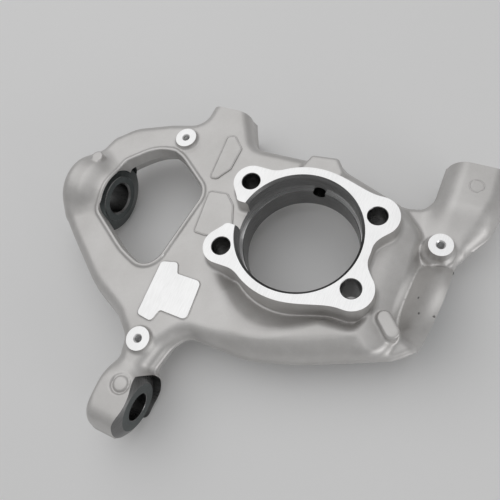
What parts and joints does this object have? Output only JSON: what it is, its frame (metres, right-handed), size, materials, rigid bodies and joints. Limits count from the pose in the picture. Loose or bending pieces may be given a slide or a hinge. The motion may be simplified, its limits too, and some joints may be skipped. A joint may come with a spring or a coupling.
{
  "type": "steering knuckle",
  "caption": "Cast aluminium steering knuckle with a bolted hub flange, bearing bore, window, ball joint lugs, link eye and caliper arms.",
  "frame": {"origin": "centre of the hub flange face, on the bearing axis", "axes": "+Z outward normal of the hub face, +X along the long side of the bolt pattern, +Y towards the caliper ends"},
  "size_m": [0.337, 0.2776, 0.0622],
  "materials": {
    "casting": "shot-blasted casting with machined faces"
  },
  "bodies": {
    "root": {"knuckle": "casting"}
  },
  "joints": []
}
